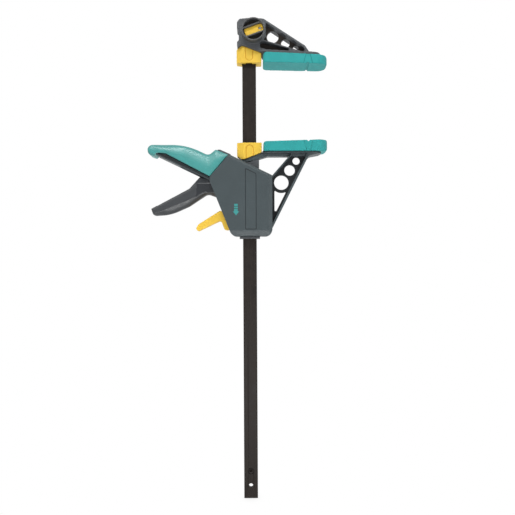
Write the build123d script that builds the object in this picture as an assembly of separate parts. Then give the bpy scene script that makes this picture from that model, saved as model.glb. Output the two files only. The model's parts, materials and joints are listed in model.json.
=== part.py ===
from build123d import *
import os
from math import atan, cos, degrees, radians, sin, sqrt, tan

# Quick release bar clamp. Millimetres, +Z up along the bar, +X from the bar towards the jaws,
# -Y to the front. Everything is drawn from the bar's axis (x = 0) and then moved so that the
# origin is the centre of the fixed pad's clamping face. What travels with the moving jaw is drawn
# from the moving pad's clamping plane (z = 0) and then lowered by the opening.

# ---------------------------------------------------------------- driving dimensions
opening = 111.3              # between the middles of the two clamping faces, as stored
toe_in = 1.6                 # degrees that each clamping face leans towards the other at its tip

bar_width = 20.0
bar_thickness = 6.0
bar_length = 693.0
bar_cover = 5.3              # how much jaw stands over the bar's upper end
bar_chamfer = 1.6            # long edges of the bar
bar_hole_radius = 3.25
bar_hole_height = 18.3       # hole's centre above the bar's lower end
stop_screw_radius = 4.2
stop_screw_height = 39.5     # stop screw's centre above the bar's lower end
stop_screw_recess = 0.8
stop_screw_rear = 3.5        # how far the stop screw stands out behind the bar
socket_across_flats = 4.0
socket_depth = 3.0

seat_gap = 0.1               # clearance round a piece held in a pocket
pin_gap = 0.04               # radial running clearance of pins and spindle
slide_gap = 0.15             # each side, bar in its guides
loose_gap = 0.35             # each side, bar in the plates and spacers

# pads
pad_near = 20.3              # from the bar's axis
pad_tip = 113.5
pad_depth = 38.0
pad_near_radius = 6.0
pad_tip_radius = 16.0
fixed_pad_height = 13.8
moving_pad_height = 14.9
fixed_back_slope = 2.9       # degrees, fixed jaw's pad seat leans down towards its tip
groove_x = 85.2
groove_width = 4.4
groove_depth = 2.1
facet_near_face = 13.0
facet_near_back = 5.0
facet_depth = 0.5

# flanges that carry the pads
flange_depth = 32.0
fixed_flange = 4.4          # thickness
moving_flange = 2.6
flange_tip = 104.6
tongue_height = 7.5
tongue_depth = 24.0
tongue_near = 28.0
tongue_tip = 97.0

# yellow spacers round the bar
spacer_width = 36.0
spacer_depth = 19.0
spacer_height = 24.0         # to its highest point
spacer_right_height = 14.0
spacer_left_height = 19.4
spacer_crest_left = -11.5
spacer_crest_right = -8.0
spacer_setback = 3.4         # clamping side of a spacer behind the fixed clamping plane
moving_spacer_setback = 1.4
spacer_corner_x = 8.2        # bevel on the spacer's outer edges
spacer_corner_y = 3.0
tongue_mark_width = 11.2
tongue_mark_offset = 0.4
tongue_mark_start = 3.0
tongue_mark_depth = 0.7
clip_slot_width = 9.0
clip_slot_depth = 3.6

# fixed jaw
jaw_depth = 25.0
jaw_left = -14.6
jaw_bump = 2.6               # the two ridges on its left side
jaw_height = 66.3
hub_right = 16.2
jaw_rib = 3.2
jaw_web = 5.0
jaw_slope_x = 21.2           # upper end of the sloping top rib
jaw_slope_end = 81.5         # lower end of it
jaw_end_height = 26.8
jaw_crest = 1.4              # rise of its top beside the knob
mid_rib = 1.8
mid_rib_share = 0.425        # its left end, from the lower pocket's floor up to the knob's axis
mid_rib_right = 22.1         # height of the middle rib's underside at its right end
mid_rib_end = 59.6
low_pocket_left = 24.6       # heights of the lower pocket's floor
low_pocket_bend = 21.0
low_pocket_right = 19.4
low_pocket_bend_x = 28.0
jaw_holes = [(34.8, 8.5), (53.4, 6.3), (68.4, 3.9)]     # place and radius, against the sloping rib
jaw_hole_gap = 0.3

# lock knob
knob_x = 6.5
knob_below = 14.5            # knob's axis below the bar's upper end
knob_radius = 16.6
knob_wall = 1.9
knob_height = 11.4
knob_base = 2.4
knob_boss = 1.2              # how far the jaw's boss stands out under the knob
wing_angle = 19.7            # degrees above the horizontal
wing_width = 11.4
wing_wall = 1.9
wing_height = 7.6
insert_thickness = 3.4
insert_near = -12.6
insert_far = 14.5
insert_screw_at = 10.0
insert_hole_radius = 2.25
insert_screw_radius = 1.9
spindle_radius = 6.5
clip_thickness = 1.2
clip_radius = 8.8
clip_groove = 1.4

# body (housing and cover)
body_depth = 38.0
wall = 2.5
body_slope = 26.1            # degrees, top edge falls to the right
body_ridge_x = -47.0         # upper end of the top edge
body_ridge_z = -10.8
body_step_x = -29.2          # where the handle's grip ends on the top edge
body_right = 32.8
body_bottom = -137.6
body_left_x = -57.4          # corner between the handle and the body's left edge
body_left_z = -58.3
body_left_slope = 21.8       # degrees from vertical
body_corner_radius = 10.0
body_top_radius = 3.0
top_bevel = (3.4, 2.4)       # width seen from the front, depth
right_bevel = (5.6, 2.4)
bottom_bevel = (8.2, 2.7)
ridge_depth = 24.0           # ridge that carries the body's top edge on over the grip
ridge_height = 4.0
ridge_rise = 1.9
ridge_nose = 4.0             # length over which its left end rises from the body's top edge
ridge_web = 2.8              # height of the ridge above the handle's core
ridge_start = 0.5
shell_joint = 0.0            # depth of the joint between housing and cover
panel_left = -6.2
panel_right = 9.8
panel_top = -39.8
panel_bottom = -128.0
panel_depth = 0.4

# handle
handle_depth = 26.0          # core under the grip
strip_depth = 28.5           # rim under the grip
strip_bevel = 2.0
grip_depth = 32.0
grip_round = 5.0
grip_gap = 0.6               # between the grip and the body's edge

# bracket of the moving jaw
arm_depth = 14.0
arm_thickness = 6.0
plate_rib = 3.4             # under the moving jaw's plate
strut_depth = 24.0
strut_flange = 3.2
toe_tip = 102.4              # where the strut's upper end runs out under the plate's tip
toe_drop = 3.2
toe_radius = 8.0
strut_rim = 2.0
strut_web = 5.0
strut_outer_x = 82.7
strut_outer_z = -27.6
strut_slope = 26.8           # degrees from vertical
rim_low = (32.0, -50.6)
rim_high = (61.2, -17.4)
big_hole = (46.5, -58.9, 10.6)
middle_hole = (58.7, -41.0, 7.8)
small_hole = (68.3, -27.4, 5.35)
lower_window_left = 36.4
lower_window_bottom = -100.6
lower_window_ring = 15.0     # radius of the ring round the big hole

# trigger
trigger_width = 19.0
trigger_way_height = 25.7    # opening for the lever below the handle
trigger_way_left = -101.0    # the opening's end in the handle, with its two heights there
trigger_way_top = -30.2
trigger_way_low = -46.0
trigger_pivot = (-40.0, -58.0)
trigger_pin_radius = 3.0
trigger_hub_radius = 7.0
nose_reach = 24.0            # from the pivot to the nose's centre
nose_rise = 6.0
nose_radius = 4.0
nose_gap = 0.1
trigger_channel = 13.0       # width of the channel in the lever's upper side
trigger_round = 4.5          # finger side
trigger_outline = [(-144.0, -96.6), (-88.3, -67.2, 9), (-72.5, -50.0, 4)]
trigger_underside = [(-37.0, -77.0), (-44.5, -81.6), (-61.0, -75.4, 9), (-88.5, -93.6, 30),
                     (-116.0, -105.6, 70), (-140.6, -106.9, 5)]
channel_outline = [(-137.0, -88.0), (-92.0, -60.0), (-80.0, -45.0), (-66.0, -45.0), (-72.0, -61.0, 3),
                   (-90.0, -82.0, 20), (-108.0, -95.5, 10), (-132.0, -97.0, 3)]

# drive plates and spring
plate_thickness = 4.0
plate_left = -22.0
plate_right = 20.0
plate_width = 24.0
drive_wire = 1.8
drive_spring_radius = 12.0
drive_turns = 7
seat_z = -96.0
seat_thickness = 1.5
seat_length = 40.0
seat_width = 28.0
ledge_thickness = 2.5

# release lever, brake plate and spring
release_width = 16.0
release_way_high = -94.0     # opening for the lever in the body's left edge
release_way_low = -131.0
release_pivot = (-28.0, -113.0)
release_pin_radius = 2.0
release_hub_radius = 4.5
release_outline = [(-78.6, -126.0, 2.5), (-74.6, -119.6, 2.2), (-43.5, -100.0, 2.2)]
release_underside = [(-30.4, -128.6, 2.2), (-36.6, -128.0, 2.2), (-42.0, -114.0, 3.5),
                     (-75.6, -130.0, 2.2)]
brake_axis = (21.0, -118.4)
brake_pin_radius = 2.0
brake_tilt = 6.0             # degrees from square, as stored
brake_plate_left = 43.0      # from the fulcrum pin's axis
brake_plate_right = 3.6
brake_plate_width = 22.0
brake_nose_at = 37.0         # from the fulcrum pin's axis, where the lever's nose presses
brake_nose_radius = 3.0
brake_wire = 0.9
brake_spring_radius = 2.6
brake_spring_x = -18.3
brake_turns = 6
brake_stand_z = -133.5

# bar guides
upper_guide_width = 28.0
upper_guide_depth = 12.0
upper_guide_bottom = -43.0
guide_lip = 2.5
collar_width = 29.4
collar_depth = 18.0
collar_height = 3.5
collar_neck = 2.0            # each side, groove that the floor holds
collar_flange = 2.5

# screws that join the cover to the housing
handle_screws = [(-118.0, -14.2), (-46.5, -28.0)]
body_screws = [(24.2, -63.0), (-31.0, -88.8), (20.5, -129.0)]
screw_radius = 1.5
screw_head_radius = 2.8
screw_head_height = 2.0
screw_boss_radius = 3.5
screw_length = 22.0

# arrow inlaid in the housing
arrow_x = -19.6
arrow_top = -91.2
arrow_stem = 5.2
arrow_dashes = (3.2, 2.2)    # heights of the two dashes above the arrow
arrow_pause = 0.9
arrow_shaft = 3.8
arrow_head = 9.2
arrow_point = 5.4            # height of the arrow's head
arrow_thickness = 0.5
arrow_proud = 0.1

# ---------------------------------------------------------------- worked out from the above
bar_top = jaw_height - bar_cover
bar_bottom = bar_top - bar_length
knob_z = bar_top - knob_below
mid_rib_left = low_pocket_left + (knob_z - low_pocket_left) * mid_rib_share
jaw_slope = degrees(atan((jaw_height - jaw_end_height) / (jaw_slope_end - jaw_slope_x)))
pad_middle = (pad_near + pad_tip) / 2
bar_half = bar_width / 2
bar_skin = bar_thickness / 2
body_half = body_depth / 2
cavity_half = body_half - wall
spacer_half = spacer_width / 2
drive_top = trigger_pivot[1] + nose_rise - nose_radius - nose_gap
drive_bottom = drive_top - 2 * plate_thickness


# ---------------------------------------------------------------- helpers
def face_of(corners):
    """Flat face from (x, z, corner radius) points."""
    points = [corner[:2] for corner in corners]
    radii = [corner[2] if len(corner) > 2 else 0 for corner in corners]
    return make_face(FilletPolyline(*points, radius=radii, close=True))


def raise_face(face, front, rear):
    """Extrude a front-view face from y = rear forward to y = front."""
    return extrude(Plane.XZ.offset(-rear) * face, rear - front, dir=(0, -1, 0))


def prism(corners, front, rear):
    """Solid with a front-view outline between two depths."""
    return raise_face(face_of(corners), front, rear)


def centred(corners, depth):
    """Prism that reaches depth / 2 to the front and to the rear."""
    return prism(corners, -depth / 2, depth / 2)


def rod(x, z, radius, front, rear):
    """Round bar along Y."""
    return raise_face(Pos(x, z) * Circle(radius), front, rear)


def block(x_low, x_high, y_low, y_high, z_low, z_high):
    """Box between six planes."""
    size = (x_high - x_low, y_high - y_low, z_high - z_low)
    middle = ((x_low + x_high) / 2, (y_low + y_high) / 2, (z_low + z_high) / 2)
    return Pos(*middle) * Box(*size)


def bar_hole(gap, z_low, z_high):
    """What a hole for the bar takes away, with a gap all round."""
    return block(-bar_half - gap, bar_half + gap, -bar_skin - gap, bar_skin + gap, z_low, z_high)


def strip(start, end, thickness, depth):
    """Rib between two points; its thickness lies to the right of the way from start to end."""
    length = sqrt((end[0] - start[0]) ** 2 + (end[1] - start[1]) ** 2)
    right = ((end[1] - start[1]) / length, -(end[0] - start[0]) / length)
    far = [(x + right[0] * thickness, z + right[1] * thickness) for x, z in (end, start)]
    return centred([start, end, *far], depth)


def bevel(start, end, width, depth, half):
    """Wedges that bevel the front and rear edges along a line; the body lies to the line's right."""
    run = Vector(end[0] - start[0], 0, end[1] - start[1])
    outward = run.cross(Vector(0, 1, 0))
    reach = 20
    section = Plane(Vector(start[0], 0, start[1]), x_dir=outward, z_dir=run).offset(-reach)
    wedges = Polygon((width, half - 2 * depth), (-2 * width, half + depth),
                     (width + 5, half + depth + 5), align=None)
    wedges += mirror(wedges, Plane.XZ)
    return extrude(section * wedges, run.length + 2 * reach, dir=run.normalized())


def coil(x, z_low, z_high, radius, wire, turns):
    """Compression spring round a vertical axis, with its ends inside the given height."""
    rise = z_high - z_low - wire
    path = Helix(rise / turns, rise, radius)
    section = Plane(path @ 0, z_dir=path % 0) * Circle(wire / 2)
    return Pos(x, 0, z_low + wire / 2) * sweep(section, path)


def body_top(x):
    """Height of the body's sloping top edge."""
    return body_ridge_z - (x - body_ridge_x) * tan(radians(body_slope))


def body_left(z):
    """Place of the body's left edge at a height."""
    return body_left_x + (body_left_z - z) * tan(radians(body_left_slope))


# ---------------------------------------------------------------- pads and the flanges under them
def plan(near, tip, depth, near_radius, tip_radius):
    """Pad or flange outline seen from above, raised tall enough to cut with."""
    tall = 100
    half = depth / 2
    corners = [(near, -half), (tip, -half), (tip, half), (near, half)]
    radii = [near_radius, tip_radius, tip_radius, near_radius]
    outline = make_face(FilletPolyline(*corners, radius=radii, close=True))
    return extrude(Pos(0, 0, -tall / 2) * outline, tall)


def pad_line(height, slope, x):
    """Height of a sloping line through the pad's middle."""
    return height + (x - pad_middle) * tan(radians(slope))


def make_flange(height, slope, up, thickness, tip_radius):
    """Flange with its tongue, seated at height; up is the direction away from the clamping face."""
    def seat(x):
        return pad_line(height, slope, x)
    near = pad_near - 1.5
    base = [(near, seat(near)), (flange_tip, seat(flange_tip)),
            (flange_tip, seat(flange_tip) + up * thickness, tip_radius),
            (near, seat(near) + up * thickness)]
    plate = centred(base, flange_depth) & plan(near, flange_tip, flange_depth, 1, pad_tip_radius - 3)
    return plate + tongue(height, slope, up, 0)


def tongue(height, slope, up, gap):
    """Key on the flange that the pad is pushed over."""
    left, right = tongue_near - gap, tongue_tip + gap
    rise = up * (tongue_height + gap)
    corners = [(left, pad_line(height, slope, left)), (right, pad_line(height, slope, right)),
               (right, pad_line(height, slope, right) - rise),
               (left, pad_line(height, slope, left) - rise)]
    return centred(corners, tongue_depth + 2 * gap)


def make_pad(height, slope, up, near_back, near_face, tip_back):
    """Soft pad; its back lies at height and its clamping face at zero, both at the pad's middle."""
    def back(x):
        return pad_line(height, slope, x)

    def face(x):
        return pad_line(0, -up * toe_in, x)
    corners = [(pad_near, back(pad_near), near_back), (pad_tip, back(pad_tip), tip_back),
               (pad_tip, face(pad_tip), 3), (pad_near, face(pad_near), near_face)]
    pad = centred(corners, pad_depth)
    pad &= plan(pad_near, pad_tip, pad_depth, pad_near_radius, pad_tip_radius)
    pad -= tongue(height, slope, up, seat_gap)
    half_groove, half_facet = groove_width / 2, facet_near_face / 2
    groove_face = face(groove_x)
    pad -= centred([(groove_x - half_groove, groove_face - up * 0.2),
                    (groove_x + half_groove, groove_face - up * 0.2),
                    (groove_x, groove_face + up * groove_depth)], pad_depth + 2)
    facet = [(groove_x - half_facet, groove_face - up * 2), (groove_x + half_facet, groove_face - up * 2),
             (groove_x + facet_near_back / 2, back(groove_x) + up * 2),
             (groove_x - facet_near_back / 2, back(groove_x) + up * 2)]
    for front in (-pad_depth / 2, pad_depth / 2 - facet_depth):
        pad -= prism(facet, front, front + facet_depth)
    return pad


def make_fixed_pad():
    return make_pad(fixed_pad_height, -fixed_back_slope, 1, 4.5, 1.5, 4)


def make_moving_pad():
    return make_pad(-moving_pad_height, 0, -1, 1.5, 3.5, 5)


# ---------------------------------------------------------------- bar
def make_bar():
    bar = block(-bar_half, bar_half, -bar_skin, bar_skin, bar_bottom, bar_top)
    bar = chamfer(bar.edges().filter_by(Axis.Z), bar_chamfer / 2, bar_chamfer)
    bar -= rod(0, bar_bottom + bar_hole_height, bar_hole_radius, -bar_thickness, bar_thickness)
    bar -= rod(0, bar_bottom + stop_screw_height, stop_screw_radius, -bar_thickness, bar_thickness)
    return bar - rod(knob_x, knob_z, spindle_radius + pin_gap, -bar_thickness, bar_thickness)


def make_stop_screw():
    z = bar_bottom + stop_screw_height
    front = -bar_skin + stop_screw_recess
    screw = rod(0, z, stop_screw_radius, front, bar_skin + stop_screw_rear)
    socket = Pos(0, z) * RegularPolygon(socket_across_flats / 2, 6, major_radius=False)
    return screw - raise_face(socket, front - 1, front + socket_depth)


# ---------------------------------------------------------------- spacers
def make_spacer():
    """Spacer with its clamping side at z = 0 and its sloping side up."""
    corners = [(-spacer_half, 0, 1), (spacer_half, 0, 1), (spacer_half, spacer_right_height, 2),
               (spacer_crest_right, spacer_height, 2), (spacer_crest_left, spacer_height, 2),
               (-spacer_half, spacer_left_height, 2)]
    spacer = centred(corners, spacer_depth)
    outer, bevel = -spacer_half, spacer_half - spacer_corner_x
    for side in (-1, 1):
        edge = side * spacer_depth / 2
        profile = make_face(Polyline((outer - 1, edge + side), (-bevel, edge + side), (-bevel, edge),
                                     (outer, edge - side * spacer_corner_y),
                                     (outer - 1, edge - side * spacer_corner_y), close=True))
        spacer -= extrude(Pos(0, 0, -1) * profile, spacer_height + 2)
        mark = SlotCenterToCenter(spacer_height, tongue_mark_width)
        mark_line = mark - offset(mark, -0.9)
        centre_z = tongue_mark_start + tongue_mark_width / 2 + spacer_height / 2
        placed = Pos(tongue_mark_offset, centre_z) * Rot(0, 0, 90) * mark_line
        depth = sorted((edge, edge - side * tongue_mark_depth))
        spacer -= raise_face(placed, *depth)
    slot_front = -bar_skin - clip_slot_depth
    spacer -= block(-clip_slot_width / 2, clip_slot_width / 2, slot_front, 0, -1, spacer_height + 1)
    return spacer - bar_hole(loose_gap, -1, spacer_height + 1)


def make_fixed_spacer():
    return Pos(0, 0, spacer_setback) * make_spacer()


def make_moving_spacer():
    turned = mirror(make_spacer(), Plane.XY)
    return Pos(0, 0, -moving_spacer_setback) * turned


# ---------------------------------------------------------------- fixed jaw
def jaw_top_line(x):
    """Height of the fixed jaw's sloping top edge."""
    return jaw_height - (x - jaw_slope_x) * tan(radians(jaw_slope))


def jaw_seat(x):
    """Height of the fixed pad's seat."""
    return pad_line(fixed_pad_height, -fixed_back_slope, x)


def under_rib(x):
    """Height of the underside of the sloping top rib."""
    return jaw_top_line(x) - jaw_rib / cos(radians(jaw_slope))


def make_fixed_jaw():
    outer_left = jaw_left - jaw_bump
    crest = spacer_setback + spacer_height
    nose = jaw_slope_end + 6
    outline = [(outer_left + 1.4, crest - 6), (outer_left, crest + 0.6, 1),
               (outer_left, crest + 5.4, 1.2), (jaw_left, crest + 8, 1.2), (jaw_left, jaw_height - 15.2, 0.8),
               (outer_left, jaw_height - 13.8, 0.8), (outer_left, jaw_height - 5, 3),
               (jaw_left + 1, jaw_height - 0.2, 4), (knob_x - 4, jaw_height + jaw_crest, 20),
               (jaw_slope_x, jaw_height, 6), (jaw_slope_end, jaw_top_line(jaw_slope_end), 4),
               (nose, jaw_seat(nose) + fixed_flange + 0.6, 1), (nose + 1, jaw_seat(nose + 1) + 1.5),
               (pad_near - 0.6, jaw_seat(pad_near) + 1.5), (hub_right, jaw_seat(pad_near) + 0.6),
               (hub_right - 6, crest - 8)]
    jaw = centred(outline, jaw_depth)
    pocket_left = knob_x + knob_radius + 1.4
    upper_pocket = [(pocket_left, under_rib(pocket_left)),
                    (jaw_slope_end - 2.5, under_rib(jaw_slope_end - 2.5), 1.5),
                    (jaw_slope_end, jaw_seat(jaw_slope_end) + fixed_flange + 1, 1.5),
                    (jaw_slope_end - 7, jaw_seat(jaw_slope_end) + fixed_flange + 1.8),
                    (mid_rib_end, mid_rib_right + mid_rib), (hub_right + 4.6, mid_rib_left + mid_rib, 1),
                    (pocket_left, knob_z - 4, 2)]
    lower_pocket = [(hub_right, low_pocket_left, 1), (hub_right, mid_rib_left - 1.4, 1),
                    (hub_right + 4.4, mid_rib_left), (mid_rib_end - 1.4, mid_rib_right + 0.4, 0.5),
                    (mid_rib_end - 2.1, low_pocket_right, 0.5), (low_pocket_bend_x, low_pocket_bend)]
    for front, rear in ((-jaw_depth, -jaw_web / 2), (jaw_web / 2, jaw_depth)):
        jaw -= prism(upper_pocket, front, rear)
        jaw -= prism(lower_pocket, front, rear)
    for x, radius in jaw_holes:
        z = under_rib(x) - (radius + jaw_hole_gap) / cos(radians(jaw_slope))
        jaw -= rod(x, z, radius, -jaw_web / 2, jaw_web / 2)
    jaw += rod(knob_x, knob_z, knob_radius - 0.2, -jaw_depth / 2 - knob_boss, 0)
    jaw += make_flange(fixed_pad_height, -fixed_back_slope, 1, fixed_flange, 3.6)
    spacer_room = [(outer_left - 1, 0), (spacer_half, 0), (spacer_half, spacer_right_height),
                   (spacer_crest_right, spacer_height), (spacer_crest_left, spacer_height),
                   (-spacer_half, spacer_left_height), (outer_left - 1, spacer_left_height)]
    jaw -= Pos(0, 0, spacer_setback) * centred(spacer_room, 2 * jaw_depth)
    jaw -= bar_hole(seat_gap, 0, bar_top + seat_gap)
    return jaw - rod(knob_x, knob_z, spindle_radius + pin_gap, -jaw_depth, jaw_depth)


# ---------------------------------------------------------------- lock knob
knob_rear = -jaw_depth / 2 - knob_boss - seat_gap
knob_floor = knob_rear - knob_base
knob_front = knob_rear - knob_height


def at_knob(flat_shape):
    """Place a flat shape drawn along the wing on the knob's axis."""
    return Pos(knob_x, knob_z) * Rot(0, 0, wing_angle) * flat_shape


def make_lock_knob():
    knob = rod(knob_x, knob_z, knob_radius, knob_floor, knob_rear)
    ring = Circle(knob_radius) - Circle(knob_radius - knob_wall)
    knob += raise_face(at_knob(ring), knob_front, knob_floor)
    walls = Rectangle(2 * knob_radius, wing_width + 2 * wing_wall) - Rectangle(2 * knob_radius, wing_width)
    walls &= Circle(knob_radius - knob_wall / 2)
    knob += raise_face(at_knob(walls), knob_floor - wing_height, knob_floor)
    return knob - rod(knob_x, knob_z, spindle_radius, knob_floor + 0.8, knob_rear + 1)


def make_knob_insert():
    middle = (insert_near + insert_far) / 2
    plate = Pos(middle, 0) * RectangleRounded(insert_far - insert_near, wing_width - 2 * seat_gap, 2)
    plate &= Circle(knob_radius - knob_wall - seat_gap)
    plate -= Pos(insert_screw_at, 0) * Circle(insert_hole_radius)
    return raise_face(at_knob(plate), knob_floor - insert_thickness, knob_floor)


def make_insert_screw():
    head = at_knob(Pos(insert_screw_at, 0) * Circle(insert_screw_radius))
    return raise_face(head, knob_floor - insert_thickness / 2, knob_floor)


def make_lock_spindle():
    """Spindle with a half-moon neck: turned a quarter, it leaves the bar's notch free."""
    rear = jaw_depth / 2 + seat_gap + clip_thickness + 1.3
    spindle = rod(knob_x, knob_z, spindle_radius, knob_floor + 0.8, rear)
    flat = bar_half + slide_gap - knob_x
    neck = bar_skin + loose_gap
    spindle -= block(knob_x - 10, knob_x + 10, -neck, neck, knob_z - flat, knob_z + 10)
    groove_front = jaw_depth / 2 + seat_gap
    groove = Circle(spindle_radius + 1) - Circle(spindle_radius - clip_groove)
    return spindle - raise_face(Pos(knob_x, knob_z) * groove, groove_front, groove_front + clip_thickness)


def make_spindle_clip():
    clip = Circle(clip_radius) - Circle(spindle_radius - clip_groove)
    clip -= Pos(0, -clip_radius) * Rectangle(2 * (spindle_radius - clip_groove) - 2, 2 * clip_radius)
    front = jaw_depth / 2 + seat_gap
    return raise_face(Pos(knob_x, knob_z) * clip, front, front + clip_thickness)


# ---------------------------------------------------------------- body outlines
def body_face():
    corner = (body_left(body_bottom), body_bottom, body_corner_radius)
    return face_of([(body_step_x, body_top(body_step_x)),
                    (body_right, body_top(body_right), body_top_radius),
                    (body_right, body_bottom, body_corner_radius), corner,
                    (body_left_x, body_left_z), (body_left_x + 0.6, body_left_z + 6.8)])


handle_core = [(body_left_x, body_left_z + 3.4), (-134.0, -17.8, 1), (-143.8, -14.6, 3), (-143.8, -8.4, 3),
               (-97.0, -7.0, 90), (-60.2, -24.0, 6), (body_ridge_x - 1, body_ridge_z - ridge_web, 0.5),
               (body_step_x + 9, body_top(body_step_x + 9) - ridge_web + 0.5), (body_step_x + 9, -60.0)]
handle_strip = [(body_left_x, body_left_z + 1.8), (-133.8, -19.4), (-131.5, -17.9, 1),
                (-121.9, -18.5, 8), (body_left_x - 0.6, body_left_z + 6.0),
                (body_left_x + 8, body_left_z + 4)]
grip_outline = [(-148.6, -4.2, 7.5), (-92.5, -3.6, 100), (-59.5, -19.5, 8), (-49.3, -11.0),
                (-30.6, -20.2), (-56.4, -51.6, 2.5), (-121.5, -17.3, 10), (-134.0, -16.6, 3),
                (-138.0, -21.2), (-147.0, -18.0, 7)]


def ridge_top(x):
    """Height of the ridge that carries the body's top edge on over the grip."""
    return body_top(x) + ridge_rise


def ridge(gap):
    """The ridge, grown by a gap on the grip's side."""
    left, right = body_ridge_x + ridge_start - gap, body_step_x + 2
    return centred([(left, body_top(left), 0.6), (left + ridge_nose, ridge_top(left + ridge_nose), 2),
                    (right, ridge_top(right)), (right, body_top(right) - ridge_height - gap),
                    (left, body_top(left) - ridge_height - gap)], ridge_depth + 2 * gap)


def make_grip_cover():
    grip = centred(grip_outline, grip_depth)
    rim = grip.edges().filter_by(lambda edge: abs(abs(edge.center().Y) - grip_depth / 2) < 0.01)
    top_rim = rim.filter_by(lambda edge: edge.center().Z > -16 and edge.center().X < -50)
    grip = fillet(top_rim, grip_round)
    grip -= centred(handle_core, handle_depth)
    grip -= centred(handle_strip, strip_depth)
    grip -= ridge(seat_gap)
    return grip - raise_face(offset(body_face(), grip_gap), -body_half, body_half)


# ---------------------------------------------------------------- bracket of the moving jaw
def seat_line(x):
    """Underside of the moving spacer's sloping side."""
    rise = (spacer_height - spacer_right_height) / (spacer_half - spacer_crest_right)
    return -moving_spacer_setback - spacer_height + (x - spacer_crest_right) * rise


def flange_outer(z):
    """Place of the strut's outer edge at a height."""
    return strut_outer_x + (z - strut_outer_z) * tan(radians(strut_slope))


def arm_low(x):
    """Underside of the arm."""
    return seat_line(x) - arm_thickness


def make_bracket():
    under = -moving_pad_height - moving_flange
    rib_low = under - plate_rib
    arm_end = body_right - 5
    arm = centred([(spacer_crest_left, seat_line(spacer_crest_right)),
                   (spacer_crest_right, seat_line(spacer_crest_right)),
                   (spacer_half, seat_line(spacer_half)), (spacer_half + 3, under), (arm_end, under),
                   (arm_end, rib_low), (arm_end - 1.5, rib_low), (-1, arm_low(-1)),
                   (spacer_crest_left, body_top(spacer_crest_left) - wall)], arm_depth)
    rib = centred([(arm_end - 1, under + 1), (flange_outer(under), under + 1),
                   (flange_outer(rib_low), rib_low), (arm_end - 1, rib_low)], arm_depth)
    outer_top = (flange_outer(under), under)
    outer_low = (flange_outer(body_bottom + 6), body_bottom + 6)
    flange = strip(outer_top, outer_low, strut_flange, strut_depth)
    toe_low = under - toe_drop
    toe = centred([(flange_outer(under) - 4, under + 1), (toe_tip, under + 1), (toe_tip, under - 0.2),
                   (flange_outer(toe_low), toe_low, toe_radius), (flange_outer(under - 22), under - 22),
                   (flange_outer(under - 22) - 2.5, under - 22)], strut_depth)
    rim = strip(rim_low, rim_high, strut_rim, strut_depth)
    web_corners = [(body_right - 4, rim_low[1] - 3), (rim_low[0], rim_low[1]), (rim_high[0], rim_high[1]),
                   (rim_high[0] + 2, under), (flange_outer(under) - 1, under),
                   (flange_outer(body_bottom + 6) - 1, body_bottom + 6)]
    web = centred(web_corners, strut_web)
    for hole in (big_hole, middle_hole, small_hole):
        web -= rod(*hole, -strut_web, strut_web)
    edge_inset = strut_flange + 3.6
    window_top = big_hole[1] - 1
    window = centred([(lower_window_left, window_top), (flange_outer(window_top) - edge_inset, window_top),
                      (flange_outer(lower_window_bottom) - edge_inset, lower_window_bottom, 0.4),
                      (lower_window_left, lower_window_bottom, 0.4)], strut_web + 1)
    window -= rod(big_hole[0], big_hole[1], lower_window_ring, -strut_web, strut_web)
    bracket = arm + rib + flange + toe + rim + (web - window)
    return bracket + make_flange(-moving_pad_height, 0, -1, moving_flange, 1.2)


# ---------------------------------------------------------------- housing and cover
def trigger_way():
    """Opening in the body's left edge and under the handle for the trigger."""
    half = trigger_width / 2 + 0.8
    low = body_left_z - trigger_way_height
    corners = [(trigger_way_left, trigger_way_top), (body_left_x + 3.5, body_left_z + 7.4),
               (body_left_x + 8, body_left_z), (body_left(low) + 4.5, low), (body_left(low) - 5, low),
               (body_left_x - 4, body_left_z - 4), (trigger_way_left, trigger_way_low)]
    return prism(corners, -half, half)


def release_way():
    """Opening in the body's left edge for the release lever."""
    half = release_width / 2 + 0.8
    high, low = release_way_high, release_way_low
    corners = [(body_left(high) - 4, high), (body_left(high) + 4.5, high),
               (body_left(low) + 4.2, low + 1), (body_left(low) - 5, low - 1)]
    return prism(corners, -half, half)


def upper_guide_corners(gap):
    """Outline of the upper bar guide, grown by a gap."""
    half = upper_guide_width / 2 + gap
    low = upper_guide_bottom - gap
    turn = 0
    shelf = body_top(-upper_guide_width / 2) - wall - seat_gap
    return [(-half, low), (half, low), (half, arm_low(half) - seat_gap + gap),
            (turn, arm_low(turn) - seat_gap + gap), (-half, min(shelf, arm_low(turn)) + gap)]


def make_upper_guide():
    guide = centred(upper_guide_corners(0), upper_guide_depth)
    return guide - bar_hole(slide_gap, upper_guide_bottom - 1, 0)


def collar(gap):
    """Lower bar guide with a groove for the body's floor."""
    half, half_y = collar_width / 2 + gap, collar_depth / 2 + gap
    floor = body_bottom + wall
    outside = block(-half, half, -half_y, half_y, body_bottom - collar_height - gap, body_bottom)
    inside = block(-half, half, -half_y, half_y, floor, floor + collar_flange + gap)
    neck = block(-half + collar_neck, half - collar_neck, -half_y + collar_neck, half_y - collar_neck,
                 body_bottom - 1, floor + 1)
    return outside + inside + neck


def make_lower_guide():
    return collar(0) - bar_hole(slide_gap, body_bottom - 20, body_bottom + 20)


def pin_bosses(place, radius, inner_half):
    """Pair of bosses that hold a pin's ends, out to the body's walls."""
    outer = cavity_half + 0.5
    return rod(*place, radius, -outer, -inner_half) + rod(*place, radius, inner_half, outer)


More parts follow.
